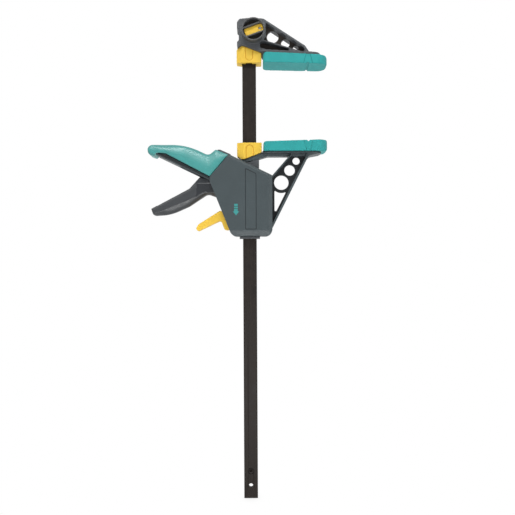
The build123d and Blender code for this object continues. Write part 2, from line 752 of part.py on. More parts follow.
def body_solid():
    """The whole body before it is split: walls, bosses, ledges and guide pocket."""
    outside = raise_face(body_face(), -body_half, body_half)
    corners = [(body_step_x, body_top(body_step_x)), (body_right, body_top(body_right)),
               (body_right, body_bottom), (body_left(body_bottom), body_bottom)]
    for start, end, size in zip(corners, corners[1:], (top_bevel, right_bevel, bottom_bevel)):
        outside -= bevel(start, end, *size, body_half)
    inside = raise_face(offset(body_face(), -wall), -cavity_half, cavity_half)
    core = centred(handle_core, handle_depth)
    handle_inside = offset(face_of(handle_core), -wall)
    handle_half = handle_depth / 2 - wall
    rim = centred(handle_strip, strip_depth)
    low = (handle_strip[0][1] + handle_strip[1][1]) / 2
    low_edges = rim.edges().filter_by(lambda edge: abs(edge.center().Z - low) < 0.01)
    handle = core + chamfer(low_edges, strip_bevel)
    body = outside + handle - raise_face(handle_inside, -handle_half, handle_half) - inside
    body += ridge(0) - raise_face(handle_inside, -handle_half, handle_half)
    body -= trigger_way()
    body -= release_way()

    additions = pin_bosses(trigger_pivot, trigger_hub_radius - 1, trigger_width / 2 + 0.4)
    additions += pin_bosses(release_pivot, release_hub_radius, release_width / 2 + 0.4)
    additions += pin_bosses(brake_axis, brake_pin_radius + 2.5, brake_plate_width / 2 + 0.5)
    guide_half = upper_guide_width / 2 + wall
    additions += centred([(-guide_half, upper_guide_bottom - guide_lip),
                          (guide_half, upper_guide_bottom - guide_lip),
                          (guide_half, body_top(guide_half) - 1), (-guide_half, body_top(-guide_half) - 1)],
                         upper_guide_depth + 2 * wall)
    ledge_low = seat_z - seat_thickness - ledge_thickness
    ledge_high = seat_z - seat_thickness
    right_wall = body_right - 1
    outer = cavity_half + 0.5
    additions += block(14, right_wall, -outer, outer, ledge_low, ledge_high)
    additions += block(-26, -14, -outer, outer, ledge_low, ledge_high)
    additions += block(14, right_wall, -outer, outer, drive_top + seat_gap, drive_top + 4)
    additions += block(brake_spring_x - 4, -collar_width / 2 - 0.3, -4, 4, body_bottom + 1, brake_stand_z)
    for place in body_screws:
        additions += rod(*place, screw_boss_radius, -outer, outer)
    for place in handle_screws:
        additions += rod(*place, screw_boss_radius, -handle_half - 0.5, handle_half + 0.5)

    body += additions
    body -= centred(upper_guide_corners(seat_gap), upper_guide_depth + 2 * seat_gap)
    body -= collar(seat_gap)
    body -= bar_hole(loose_gap, body_bottom - 20, 0)
    for place, radius in ((trigger_pivot, trigger_pin_radius), (release_pivot, release_pin_radius),
                          (brake_axis, brake_pin_radius)):
        body -= rod(*place, radius + pin_gap, -pin_half, pin_half)
    return body


pin_half = cavity_half + wall / 2


def arrow_shapes(front, rear):
    """Two dashes and a short arrow that points down."""
    half_stem, half_head = arrow_stem / 2, arrow_head / 2
    left, right = arrow_x - half_stem, arrow_x + half_stem
    shapes = []
    high = arrow_top
    for dash in arrow_dashes:
        low = high - dash
        shapes.append(prism([(left, low), (right, low), (right, high), (left, high)], front, rear))
        high = low - arrow_pause
    neck = high - arrow_shaft
    shapes.append(prism([(left, high), (right, high), (right, neck), (arrow_x + half_head, neck),
                         (arrow_x, neck - arrow_point), (arrow_x - half_head, neck), (left, neck)],
                        front, rear))
    return shapes


def make_housing(body, bracket):
    """Front half of the body and handle, in one piece with the moving jaw's bracket."""
    far = 400
    front_half = body & block(-far, far, -far, shell_joint, -far, far)
    bracket_root = bracket - raise_face(body_face(), shell_joint, body_half)
    bracket_root -= raise_face(offset(body_face(), -wall), -cavity_half, cavity_half)
    bracket_root -= centred(upper_guide_corners(seat_gap), upper_guide_depth + 2 * seat_gap)
    bracket_root -= bar_hole(loose_gap, body_bottom, 0)
    housing = front_half + bracket_root
    for x, z in handle_screws + body_screws:
        housing -= rod(x, z, screw_radius, screw_tip(x), shell_joint + 1)
    housing -= prism([(panel_left, panel_top, 1), (panel_right, panel_top - (panel_right - panel_left)
                      * tan(radians(body_slope)), 1), (panel_right, panel_bottom, 1),
                      (panel_left, panel_bottom, 1)], -body_half, -body_half + panel_depth)
    inlay = arrow_shapes(-body_half, -body_half + arrow_thickness - arrow_proud)
    return housing - inlay[0] - inlay[1] - inlay[2]


def rear_grip(x):
    """Length of a screw behind the joint, up to the underside of its head; less in the handle."""
    skin = handle_depth / 2 if x < body_step_x - 3 else body_half
    return skin - screw_head_height - 0.4


def screw_tip(x):
    """Depth that a screw reaches in the housing."""
    return max(rear_grip(x) - screw_length, -(handle_depth / 2 - wall - 1))


def make_cover(body, bracket):
    """Rear half of the body and handle."""
    far = 400
    cover = body & block(-far, far, shell_joint, far, -far, far)
    arm_root = bracket & block(-far, body_right - 6, shell_joint - 1, far, -40, 0)
    cover -= arm_root
    for x, z in handle_screws + body_screws:
        cover -= rod(x, z, screw_radius + seat_gap, shell_joint - 1, body_half + 1)
        cover -= rod(x, z, screw_head_radius + seat_gap, rear_grip(x), body_half + 1)
    return cover


def make_screws():
    """The cover's screws, all driven from the rear."""
    screws = []
    for x, z in handle_screws + body_screws:
        shank = rod(x, z, screw_radius, screw_tip(x), rear_grip(x))
        head = rod(x, z, screw_head_radius, rear_grip(x), rear_grip(x) + screw_head_height)
        drive = rod(x, z, 1.1, rear_grip(x) + screw_head_height - 1.2, rear_grip(x) + screw_head_height)
        screws.append(shank + head - drive)
    return Compound(children=screws)


# ---------------------------------------------------------------- trigger
def make_trigger():
    px, pz = trigger_pivot
    nose = (px + nose_reach, pz + nose_rise)
    half = trigger_width / 2
    lever = centred(trigger_outline + [(px - 9, pz + 9, 4), (px, pz + 5), (px + 2, pz - 5)]
                    + trigger_underside, trigger_width)
    rim = lever.edges().filter_by(lambda edge: abs(abs(edge.center().Y) - half) < 0.01)
    belly = rim.filter_by(lambda edge: -60 > edge.center().X > -138 and edge.center().Z < -80)
    trigger = fillet(belly, trigger_round) + rod(px, pz, trigger_hub_radius, -half, half)
    link = [(px, pz + trigger_hub_radius), (nose[0], nose[1] + nose_radius),
            (nose[0] - nose_radius + 1, nose[1]), (nose[0] - nose_radius - 4, nose[1] - 0.5),
            (px + 4, pz - 3)]
    trigger += centred(link, trigger_width)
    trigger += rod(*nose, nose_radius, -half, half)
    trigger -= centred(channel_outline, trigger_channel)
    return trigger - rod(px, pz, trigger_pin_radius + pin_gap, -trigger_width, trigger_width)


def make_pin(place, radius):
    return rod(*place, radius, -pin_half, pin_half)


# ---------------------------------------------------------------- drive plates and spring
def make_drive_plate(top):
    half = plate_width / 2
    corners = [(plate_left, -half), (plate_right, -half), (plate_right, half), (plate_left, half)]
    outline = make_face(FilletPolyline(*corners, radius=3, close=True))
    plate = extrude(Pos(0, 0, top - plate_thickness) * outline, plate_thickness)
    return plate - bar_hole(loose_gap, top - 10, top + 10)


def make_drive_spring():
    return coil(0, seat_z, drive_bottom, drive_spring_radius, drive_wire, drive_turns)


def make_spring_seat():
    half_x, half_y = seat_length / 2, seat_width / 2
    seat = block(-half_x, half_x, -half_y, half_y, seat_z - seat_thickness, seat_z)
    return seat - bar_hole(loose_gap, seat_z - 10, seat_z + 10)


# ---------------------------------------------------------------- release lever and brake
def brake_point(along, above):
    """Point of the tilted brake plate: along it from the pin's axis to the left, and above it."""
    tilt = radians(brake_tilt)
    return (brake_axis[0] - along * cos(tilt) + above * sin(tilt),
            brake_axis[1] + along * sin(tilt) + above * cos(tilt))


def make_brake_plate():
    """Steel plate drawn square to the bar round its pin's axis, then tilted."""
    tilt = radians(brake_tilt)
    half = brake_plate_width / 2
    corners = [(-brake_plate_left, -half), (brake_plate_right, -half), (brake_plate_right, half),
               (-brake_plate_left, half)]
    outline = make_face(FilletPolyline(*corners, radius=2, close=True))
    plate = extrude(Pos(0, 0, -plate_thickness) * outline, plate_thickness)
    hole_left = -(brake_axis[0] + bar_half + slide_gap) / cos(tilt)
    hole_right = (plate_thickness * sin(tilt) - brake_axis[0] + bar_half + slide_gap) / cos(tilt)
    skin = bar_skin + loose_gap
    plate -= block(hole_left, hole_right, -skin, skin, -plate_thickness - 1, 1)
    plate -= rod(0, 0, brake_pin_radius + pin_gap, -half - 1, half + 1)
    return Pos(brake_axis[0], 0, brake_axis[1]) * Rot(0, brake_tilt, 0) * plate


def make_release_lever():
    px, pz = release_pivot
    nose = brake_point(brake_nose_at, brake_nose_radius + nose_gap)
    lever = centred(release_outline + [(px - 6, pz + 10.5, 3), (px + 3.5, pz + 2), (px + 1, pz - 4)]
                    + release_underside, release_width)
    half = release_width / 2
    release = lever + rod(px, pz, release_hub_radius, -half, half)
    release += centred([(px - 2, pz + release_hub_radius), (nose[0], nose[1] + brake_nose_radius),
                        (nose[0] - brake_nose_radius + 0.6, nose[1] - 0.6), (px + 4, pz + 1.4)],
                       release_width)
    release += rod(*nose, brake_nose_radius, -half, half)
    return release - rod(px, pz, release_pin_radius + pin_gap, -release_width, release_width)


def make_brake_spring():
    low_side = brake_spring_x + brake_spring_radius + brake_wire / 2
    tilt = radians(brake_tilt)
    under = brake_axis[1] + (brake_axis[0] - low_side) * tan(tilt) - plate_thickness / cos(tilt)
    high = under - seat_gap
    return coil(brake_spring_x, brake_stand_z, high, brake_spring_radius, brake_wire, brake_turns)


# ---------------------------------------------------------------- all pieces
def fixed_pieces():
    return {
        "bar": make_bar(),
        "stop_screw": make_stop_screw(),
        "fixed_jaw": make_fixed_jaw(),
        "fixed_pad": make_fixed_pad(),
        "fixed_spacer": make_fixed_spacer(),
        "lock_knob": make_lock_knob(),
        "knob_insert": make_knob_insert(),
        "insert_screw": make_insert_screw(),
        "lock_spindle": make_lock_spindle(),
        "spindle_clip": make_spindle_clip(),
    }


def moving_pieces():
    body = body_solid()
    bracket = make_bracket()
    return {
        "housing": make_housing(body, bracket),
        "rear_cover": make_cover(body, bracket),
        "cover_screws": make_screws(),
        "grip_cover": make_grip_cover(),
        "moving_pad": make_moving_pad(),
        "moving_spacer": make_moving_spacer(),
        "upper_guide": make_upper_guide(),
        "lower_guide": make_lower_guide(),
        "direction_arrow": Compound(children=arrow_shapes(-body_half - arrow_proud,
                                                          -body_half + arrow_thickness - arrow_proud)),
        "trigger_pin": make_pin(trigger_pivot, trigger_pin_radius),
        "release_pin": make_pin(release_pivot, release_pin_radius),
        "fulcrum_pin": make_pin(brake_axis, brake_pin_radius),
        "spring_seat": make_spring_seat(),
        "drive_spring": make_drive_spring(),
        "brake_spring": make_brake_spring(),
        "trigger": make_trigger(),
        "drive_plate_upper": make_drive_plate(drive_top),
        "drive_plate_lower": make_drive_plate(drive_top - plate_thickness),
        "release_lever": make_release_lever(),
        "brake_plate": make_brake_plate(),
    }


def save(pieces, lowered):
    """Move the pieces to the part's origin and write one file for each."""
    for name, piece in pieces.items():
        export_step(Pos(-pad_middle, 0, -lowered) * piece, f"parts/{name}.step")


os.makedirs("parts", exist_ok=True)
save(fixed_pieces(), 0)
save(moving_pieces(), opening)
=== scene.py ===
import json
import math

import bmesh
import bpy
import numpy as np
from mathutils import Matrix, Vector

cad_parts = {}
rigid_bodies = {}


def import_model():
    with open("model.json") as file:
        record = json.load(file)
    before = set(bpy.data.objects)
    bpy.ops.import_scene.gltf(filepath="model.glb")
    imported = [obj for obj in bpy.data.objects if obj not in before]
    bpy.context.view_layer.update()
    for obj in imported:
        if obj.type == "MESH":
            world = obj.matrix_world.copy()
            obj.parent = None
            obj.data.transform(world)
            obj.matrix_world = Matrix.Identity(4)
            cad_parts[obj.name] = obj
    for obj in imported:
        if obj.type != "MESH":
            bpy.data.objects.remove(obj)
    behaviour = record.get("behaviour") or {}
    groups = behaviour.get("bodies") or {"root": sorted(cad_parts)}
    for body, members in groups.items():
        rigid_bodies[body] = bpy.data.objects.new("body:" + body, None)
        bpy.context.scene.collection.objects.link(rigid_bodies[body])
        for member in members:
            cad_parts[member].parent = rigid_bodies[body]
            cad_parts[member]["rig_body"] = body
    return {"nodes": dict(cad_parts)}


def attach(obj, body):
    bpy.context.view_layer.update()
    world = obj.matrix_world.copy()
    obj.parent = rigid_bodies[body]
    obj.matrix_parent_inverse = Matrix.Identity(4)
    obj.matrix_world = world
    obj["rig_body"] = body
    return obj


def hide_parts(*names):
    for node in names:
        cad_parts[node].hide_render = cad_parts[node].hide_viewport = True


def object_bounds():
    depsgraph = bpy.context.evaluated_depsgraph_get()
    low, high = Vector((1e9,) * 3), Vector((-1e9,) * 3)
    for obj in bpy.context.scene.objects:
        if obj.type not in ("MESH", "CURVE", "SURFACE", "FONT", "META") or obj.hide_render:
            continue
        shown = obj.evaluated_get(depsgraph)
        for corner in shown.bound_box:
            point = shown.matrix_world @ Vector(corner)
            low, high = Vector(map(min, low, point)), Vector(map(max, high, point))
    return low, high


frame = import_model()
cad_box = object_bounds()

# Places are in mm: x from the bar's axis, z from the moving jaw's clamping plane. The functions
# below turn them into metres in the object's frame.
MM = 0.001
BAR_X = -66.9                 # the bar's axis in the object's frame
LOWERED = 111.3               # the moving jaw's clamping plane below the fixed jaw's

# pads
PAD_MIDDLE = 66.9
PAD_SIDE = 18.0               # everything further out lies on the pad's front or rear
FIXED_SEAT = LOWERED + 13.8   # back of the fixed pad at its middle
FIXED_SEAT_SLOPE = 0.0507     # its fall towards the tip
MOVING_SEAT = -14.9           # back of the moving pad
FACET_X = 85.2                # middle of the V-shaped facets
FACET_HALF_FACE = 6.5         # their half width at the clamping face
FACET_HALF_BACK = 2.5         # and at the back
FACET_LINE = 0.45             # half width of the line along their edges

# handle and its grip
GRIP_TOP = [(-148.6, -4.2), (-92.5, -3.6), (-59.5, -19.5), (-49.3, -11.0), (-30.6, -20.2)]
GRIP_LOW = [(-147.0, -18.0), (-138.0, -21.2), (-134.0, -16.6), (-121.5, -17.3), (-56.4, -51.6),
            (-30.6, -20.2)]
HANDLE_ROOT = (-56.4, -51.6)  # lower corner between the handle and the body
HANDLE_WAY = (-0.773, 0.635)  # direction square to the body's edge there
HANDLE_TIP_X = -152.0
LEAN = 0.34                   # how much narrower the handle is along its top
LEAN_START = 0.2              # share of its height below which its sides stay upright
ROOT_FADE, TIP_FADE = 14.0, 30.0

# trigger
TRIGGER_RIDGE = [(-141.0, -104.5), (-130.4, -101.7), (-112.9, -93.8), (-94.0, -86.6),
                 (-80.9, -80.8), (-64.8, -74.0), (-54.0, -74.0)]
TRIGGER_LOW = [(-140.6, -106.9), (-116.0, -105.6), (-88.5, -93.6), (-61.0, -77.0), (-44.5, -81.6)]
TRIGGER_PANEL = [(-77.1, -60.5), (-54.0, -60.5), (-51.8, -73.5), (-64.8, -73.0), (-72.1, -75.9),
                 (-78.6, -80.2)]
TRIGGER_NECK = (-80.0, -60.5)    # left end and underside of the part that enters the body
BELLY_LEAN, BELLY_CURVE = 0.4, 0.1
PANEL_SINK = 0.93

# body, jaw, knob and bar
BODY_SLOPE = math.radians(26.1)
PANEL_LEFT, PANEL_RIGHT, PANEL_TOP, PANEL_LOW = -6.2, 9.8, -39.8, -128.0
PANEL_FRONT = -19.04          # just in front of the body's face
# Width of the painted shade line round the body's front panel:
PANEL_SHADE_WIDTH = 0.7
BRACKET_LEFT = 33.4
WEB_HALF = 3.2                # half the thickness of the webs between ribs, and a little more
RIB_SIDE = 12.0               # everything further out lies on the outer faces
STRIP_LEFT, STRIP_RIGHT, STRIP_REACH = -132, -58, 3
PLATE_LEFT = 19.0             # near end of the plates that carry the pads
# The dark lines below are painted shade along the plates where the pads meet them.
FIXED_RIM, MOVING_RIM = 1.0, 0.7      # heights of the dark lines where the pads meet them
RIM_WIDE_END, RIM_WIDE_RUN = 32.0, 12.0    # the lower one is wider at its near end
KNOB_FLOOR = -17.2
MARK_X, MARK_HALF = 0.4, 6.2  # tongue mark on the spacers
MARK_DEPTHS = (8.5, 9.25)
SCREW_Z = -592.5 + LOWERED
# Radii of the painted shadow ring round the stop screw's head:
SCREW_RIM = (4.6, 3.9)        # radii
SCREW_FRONT = -3.03           # just in front of the bar's face


# ---------------------------------------------------------------- materials
NOISE_LOW, NOISE_HIGH = 0.3, 0.7     # where a noise has most of its values


def srgb(red, green, blue):
    """Linear colour from 0-255 display values."""
    def linear(value):
        share = value / 255
        return share / 12.92 if share <= 0.04045 else ((share + 0.055) / 1.055) ** 2.4
    return (linear(red), linear(green), linear(blue), 1.0)


def scaled(colour, factor):
    return tuple(channel * factor for channel in colour[:3]) + (1.0,)


class Surface:
    """A Principled material with a few helpers for its nodes."""

    def __init__(self, name, roughness, specular=0.5, metallic=0.0):
        self.material = bpy.data.materials.new(name)
        self.material.use_nodes = True
        self.tree = self.material.node_tree
        self.shader = self.tree.nodes["Principled BSDF"]
        self.shader.inputs["Roughness"].default_value = roughness
        self.shader.inputs["Specular IOR Level"].default_value = specular
        self.shader.inputs["Metallic"].default_value = metallic
        self.place = self.add("ShaderNodeTexCoord").outputs["Object"]

    def add(self, kind, links=None, **values):
        made = self.tree.nodes.new(kind)
        for key, value in values.items():
            if key in made.inputs:
                made.inputs[key].default_value = value
            else:
                setattr(made, key, value)
        for key, source in (links or {}).items():
            self.tree.links.new(source, made.inputs[key])
        return made

    def stretched(self, x, y, z):
        made = self.add("ShaderNodeMapping", {"Vector": self.place}, Scale=(x, y, z))
        return made.outputs["Vector"]

    def noise(self, scale, detail=2.0, place=None, rough=0.5):
        made = self.add("ShaderNodeTexNoise", {"Vector": place or self.place},
                        Scale=scale, Detail=detail, Roughness=rough)
        return made.outputs["Fac"]

    def cells(self, scale):
        made = self.add("ShaderNodeTexVoronoi", {"Vector": self.place}, Scale=scale)
        return made.outputs["Distance"]

    def span(self, source, to_low, to_high, low=NOISE_LOW, high=NOISE_HIGH):
        made = self.add("ShaderNodeMapRange", {"Value": source})
        made.inputs["From Min"].default_value = low
        made.inputs["From Max"].default_value = high
        made.inputs["To Min"].default_value = to_low
        made.inputs["To Max"].default_value = to_high
        return made.outputs["Result"]

    def blend(self, factor, first, second):
        made = self.add("ShaderNodeMix", {"Factor": factor}, data_type="RGBA")
        for socket, value in ((made.inputs[6], first), (made.inputs[7], second)):
            if isinstance(value, tuple):
                socket.default_value = value
            else:
                self.tree.links.new(value, socket)
        return made.outputs[2]

    def colour(self, source):
        self.tree.links.new(source, self.shader.inputs["Base Color"])

    def rough(self, source):
        self.tree.links.new(source, self.shader.inputs["Roughness"])

    def rough_patches(self, roughness, scale):
        """Roughness that varies a little round a value."""
        patches = self.noise(scale, 4.0)
        self.rough(self.span(patches, roughness - 0.05, roughness + 0.06))

    def relief(self, *layers):
        """Bump from (height, strength, depth in metres) layers, finest last."""
        normal = None
        for height, strength, depth in layers:
            links = {"Height": height}
            if normal:
                links["Normal"] = normal
            bump = self.add("ShaderNodeBump", links, Strength=strength, Distance=depth)
            normal = bump.outputs["Normal"]
        self.tree.links.new(normal, self.shader.inputs["Normal"])


def moulded_plastic(name, colour, roughness, specular, depth=0.00004, variation=0.07):
    """Hard plastic with a spark-eroded grain and slight cloudiness."""
    grain = 1900.0
    surface = Surface(name, roughness, specular)
    cloud = surface.noise(38.0, 3.0)
    fleck = surface.noise(2600.0, 1.0)
    tone = surface.blend(surface.span(cloud, 0.0, 1.0), scaled(colour, 1 - variation),
                         scaled(colour, 1 + variation))
    surface.colour(surface.blend(surface.span(fleck, 0.0, 0.35, low=0.35, high=0.65), tone,
                                 scaled(colour, 1 + 2.2 * variation)))
    surface.rough_patches(roughness, 160.0)
    surface.relief((surface.cells(grain), 0.2, depth),
                   (surface.noise(grain * 2.2, 2.0), 0.12, depth / 2))
    return surface.material


def soft_rubber(name, colour, roughness, specular, sheen=0.0):
    """Soft-touch rubber: fine even grain, dusty sheen."""
    surface = Surface(name, roughness, specular)
    surface.shader.inputs["Sheen Weight"].default_value = sheen
    surface.shader.inputs["Sheen Roughness"].default_value = 0.6
    cloud = surface.noise(46.0, 3.0)
    speck = surface.noise(3200.0, 2.0)
    tone = surface.blend(surface.span(cloud, 0.0, 1.0), scaled(colour, 0.94), scaled(colour, 1.05))
    surface.colour(surface.blend(surface.span(speck, 0.0, 0.3, low=0.4), tone,
                                 scaled(colour, 1.18)))
    surface.rough_patches(roughness, 210.0)
    surface.relief((surface.noise(900.0, 3.0), 0.1, 0.00002),
                   (surface.cells(2400.0), 0.1, 0.00001))
    return surface.material


def black_oxide(name):
    """Drawn flat steel, browned: faint drawing lines, mottling and a few lighter rubbed spots."""
    surface = Surface(name, 0.5, specular=0.16)
    drawn = surface.noise(420.0, 3.0, surface.stretched(1.0, 1.0, 0.012))
    mottle = surface.noise(95.0, 5.0, rough=0.65)
    patch = surface.noise(14.0, 2.0)
    base = surface.blend(surface.span(mottle, 0.0, 1.0, low=0.35, high=0.68),
                         srgb(29, 24, 21), srgb(40, 34, 30))
    base = surface.blend(surface.span(patch, 0.0, 0.5, low=0.35, high=0.65),
                         base, srgb(34, 30, 28))
    surface.colour(surface.blend(surface.span(drawn, 0.0, 0.25, low=0.55, high=0.8),
                                 base, srgb(54, 48, 43)))
    surface.rough(surface.span(mottle, 0.42, 0.6))
    surface.relief((drawn, 0.18, 0.00005), (surface.noise(1500.0, 3.0), 0.2, 0.00004))
    return surface.material


def zinc(name, dark, light):
    """Plated steel with a fine brushed structure."""
    surface = Surface(name, 0.32, metallic=1.0)
    cloud = surface.noise(120.0, 4.0)
    brush = surface.noise(1600.0, 2.0, surface.stretched(1.0, 0.08, 1.0))
    surface.colour(surface.blend(surface.span(cloud, 0.0, 1.0), dark, light))
    surface.rough(surface.span(brush, 0.24, 0.42))
    surface.relief((brush, 0.15, 0.00003))
    return surface.material


def yellow(name, colour, roughness=0.46, specular=0.3, depth=0.000008):
    """Yellow parts are even in colour and nearly smooth."""
    return moulded_plastic(name, colour, roughness, specular, depth, variation=0.02)


BODY = moulded_plastic("body_plastic", srgb(61, 70, 73), roughness=0.42, specular=0.32)
# Painted shade: a near-black copy of the body plastic for the bracket's recessed web, the handle
# strip under the grip and the panel's outline.
WEB_SHADE = moulded_plastic("web_shade_plastic", srgb(31, 34, 36), roughness=0.5, specular=0.2)
JAW = moulded_plastic("jaw_plastic", srgb(76, 79, 82), roughness=0.46, specular=0.3)
KNOB = moulded_plastic("knob_plastic", srgb(72, 73, 74), roughness=0.42, specular=0.35)
LEVER = moulded_plastic("lever_plastic", srgb(37, 41, 45), roughness=0.38, specular=0.65,
                        depth=0.00002)
# Painted shade: a less glossy copy of the lever plastic for its sunk panel and its neck under the
# body, where shade falls.
LEVER_SHADE = moulded_plastic("lever_shade_plastic", srgb(39, 42, 46), roughness=0.42,
                              specular=0.3)
# Painted shade: a dark copy of the plastic for the jaw's recessed webs and the floor of the knob's
# recess.
RECESS_SHADE = moulded_plastic("recess_shade_plastic", srgb(62, 57, 53), roughness=0.6, specular=0.1)
YELLOW = yellow("yellow_plastic", srgb(225, 186, 67))
INDEX_YELLOW = yellow("index_yellow", srgb(239, 196, 67))
# Painted shade: a darker copy of the yellow for the walls of the spacers' tongue mark.
GROOVE_SHADE = yellow("yellow_groove_shade", srgb(206, 152, 44), roughness=0.5, specular=0.2, depth=0.00002)
ARROW = moulded_plastic("arrow_plastic", srgb(60, 140, 138), roughness=0.5, specular=0.3,
                        variation=0.04)
GRIP = soft_rubber("grip_rubber", srgb(24, 133, 129), roughness=0.4, specular=1.0, sheen=0.05)
PAD = soft_rubber("pad_rubber", srgb(47, 150, 149), roughness=0.5, specular=0.18)
BAR = black_oxide("bar_black_oxide")
STEEL = zinc("zinc_steel", srgb(168, 170, 172), srgb(196, 197, 196))
# Painted shade: darker lines of the pad rubber along the edges of the pads' facets.
PAD_FACET_SHADE = soft_rubber("pad_facet_shade_rubber", srgb(34, 122, 121), roughness=0.5, specular=0.15)
# Painted shade: near-black lines on the plates where the pads meet them.
PAD_SEAT_SHADE = moulded_plastic("pad_seat_shade_plastic", srgb(30, 31, 32), roughness=0.5, specular=0.15)
# Painted shadow: a near-black ring round the stop screw's head.
SHADOW = moulded_plastic("screw_shadow_plastic", srgb(22, 20, 19), roughness=0.6, specular=0.05)
# Painted shade: a darker copy of the zinc steel for the insert screw, which sits deep in its hole.
SCREW_SHADE_STEEL = zinc("screw_shade_steel", srgb(96, 97, 98), srgb(128, 129, 129))


# ---------------------------------------------------------------- meshes made from the solids
def clean_copy(node):
    """The node's mesh with its seams joined."""
    mesh = bmesh.new()
    mesh.from_mesh(frame["nodes"][node].data)
    bmesh.ops.remove_doubles(mesh, verts=mesh.verts, dist=2e-6)
    return mesh


def add_piece(name, data, material):
    made = bpy.data.objects.new(name, data)
    bpy.context.scene.collection.objects.link(made)
    data.materials.append(material)
    return made


def piece_from(mesh, name, material):
    data = bpy.data.meshes.new(name)
    mesh.to_mesh(data)
    mesh.free()
    return add_piece(name, data, material)


def settle(made, sharp):
    """Apply the modifiers and shade smoothly between edges sharper than so many degrees."""
    bpy.context.view_layer.update()
    graph = bpy.context.evaluated_depsgraph_get()
    final = bpy.data.meshes.new_from_object(made.evaluated_get(graph))
    made.modifiers.clear()
    final.name = made.name
    made.data = final
    final.polygons.foreach_set("use_smooth", [True] * len(final.polygons))
    final.set_sharp_from_angle(angle=math.radians(sharp))
    return made


def fit_in(made, node):
    """Let the piece stand for its node and ride on the node's body."""
    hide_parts(node)
    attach(made, frame["nodes"][node]["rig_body"])
    return made


def moulded(node, name, material, voxel, rounds, keep=1.0):
    """Moulded shape with rounded edges: fine cells over the solid, smoothed."""
    made = piece_from(clean_copy(node), name, material)
    remesh = made.modifiers.new("remesh", "REMESH")
    remesh.mode = "VOXEL"
    remesh.voxel_size = voxel * MM
    smooth = made.modifiers.new("smooth", "SMOOTH")
    smooth.factor = 0.5
    smooth.iterations = rounds
    if keep < 1:
        thin = made.modifiers.new("thin", "DECIMATE")
        thin.ratio = keep
    return fit_in(settle(made, sharp=60), node)


def plain(node, name, material):
    """The solid's own shape with its edges kept sharp."""
    return fit_in(settle(piece_from(clean_copy(node), name, material), sharp=35), node)


def reshape(made, rule):
    """Move the piece's points by a rule on x, y, z."""
    points = made.data.vertices
    flat = np.empty(3 * len(points), dtype=np.float64)
    points.foreach_get("co", flat)
    x, y, z = (flat.reshape(-1, 3) / MM).T
    x, y, z = rule(x - BAR_X, y, z + LOWERED)
    moved = np.column_stack((x + BAR_X, y, z - LOWERED)) * MM
    points.foreach_set("co", moved.ravel())
    made.data.update()


def zone(made, material, inside):
    """Another material for the faces that a test on x, y, z and the normal picks."""
    made.data.materials.append(material)
    index = len(made.data.materials) - 1
    for face in made.data.polygons:
        x, y, z = face.center / MM
        if inside(x - BAR_X, y, z + LOWERED, face.normal):
            face.material_index = index


def shade_ring(name, outer, inner, depth, node, material):
    """Flat ring of painted shade between two outlines of as many points, just in front of the
    node's face.
    """
    places = [((x + BAR_X) * MM, depth * MM, (z - LOWERED) * MM) for x, z in outer + inner]
    count = len(outer)
    following = [(step + 1) % count for step in range(count)]
    faces = [(step, after, count + after, count + step) for step, after in enumerate(following)]
    data = bpy.data.meshes.new(name)
    data.from_pydata(places, [], faces)
    made = add_piece(name, data, material)
    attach(made, frame["nodes"][node]["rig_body"])


def paint(material, *nodes):
    for node in nodes:
        shown = frame["nodes"][node]
        if not shown.material_slots:
            shown.data.materials.append(material)
        for held in shown.material_slots:
            held.material = material


# ---------------------------------------------------------------- sculpted forms
def between(x, z, low, high):
    """Height share between two lines of (x, z) points, 0 on the low one and 1 on the high one."""
    floor = np.interp(x, *zip(*low))
    top = np.interp(x, *zip(*high))
    return np.clip((z - floor) / np.maximum(top - floor, 1.0), 0.0, 1.0)


def waist(x, y, z):
    """Handle's sides lean in towards the top, less beside the body and at the tip."""
    root_x, root_z = HANDLE_ROOT
    way_x, way_z = HANDLE_WAY
    from_body = (x - root_x) * way_x + (z - root_z) * way_z
    height = between(x, z, GRIP_LOW, GRIP_TOP)
    share = np.clip((height - LEAN_START) / (1 - LEAN_START), 0.0, 1.0)
    near_body = np.clip(from_body / ROOT_FADE, 0.0, 1.0)
    near_tip = np.clip((x - HANDLE_TIP_X) / TIP_FADE, 0.0, 1.0)
    return x, y * (1 - LEAN * share ** 2 * (near_body * near_tip)), z


def in_panel(x, z):
    """Inside the lever's sunk panel, by the even-odd rule."""
    inside = np.zeros(np.shape(x), dtype=bool)
    for (ax, az), (bx, bz) in zip(TRIGGER_PANEL, TRIGGER_PANEL[1:] + TRIGGER_PANEL[:1]):
        if az != bz:
            inside ^= ((az > z) != (bz > z)) & (x < ax + (z - az) * (bx - ax) / (bz - az))
    return inside


def belly(x, y, z):
    """Lever's sides lean in below its ridge line, and the panel is sunk."""
    below = 1 - between(x, z, TRIGGER_LOW, TRIGGER_RIDGE)
    y = y * (1 - BELLY_LEAN * below - BELLY_CURVE * below ** 2)
    return x, np.where(in_panel(x, z), y * PANEL_SINK, y), z


# ---------------------------------------------------------------- zones with painted shade
def looks_sideways(normal, least):
    """The face looks to the front or the rear."""
    return abs(normal.y) > least


# Painted shade on the recessed webs between the jaw's ribs.
def jaw_web(x, y, z, normal):
    return abs(y) < WEB_HALF and looks_sideways(normal, 0.6)


# Painted shade on the bracket's recessed web.
def bracket_web(x, y, z, normal):
    return x > BRACKET_LEFT and jaw_web(x, y, z, normal)


def handle_strip(x, y, z, normal):
    """Strip of the handle just under the grip cover, with painted shade where the grip overhangs
    it.
    """
    return (looks_sideways(normal, 0.85) and STRIP_LEFT < x < STRIP_RIGHT and abs(y) > RIB_SIDE
            and z < np.interp(x, *zip(*GRIP_LOW)) + STRIP_REACH)


def plate_side(x, y, normal):
    return x > PLATE_LEFT and abs(y) > RIB_SIDE and looks_sideways(normal, 0.5)


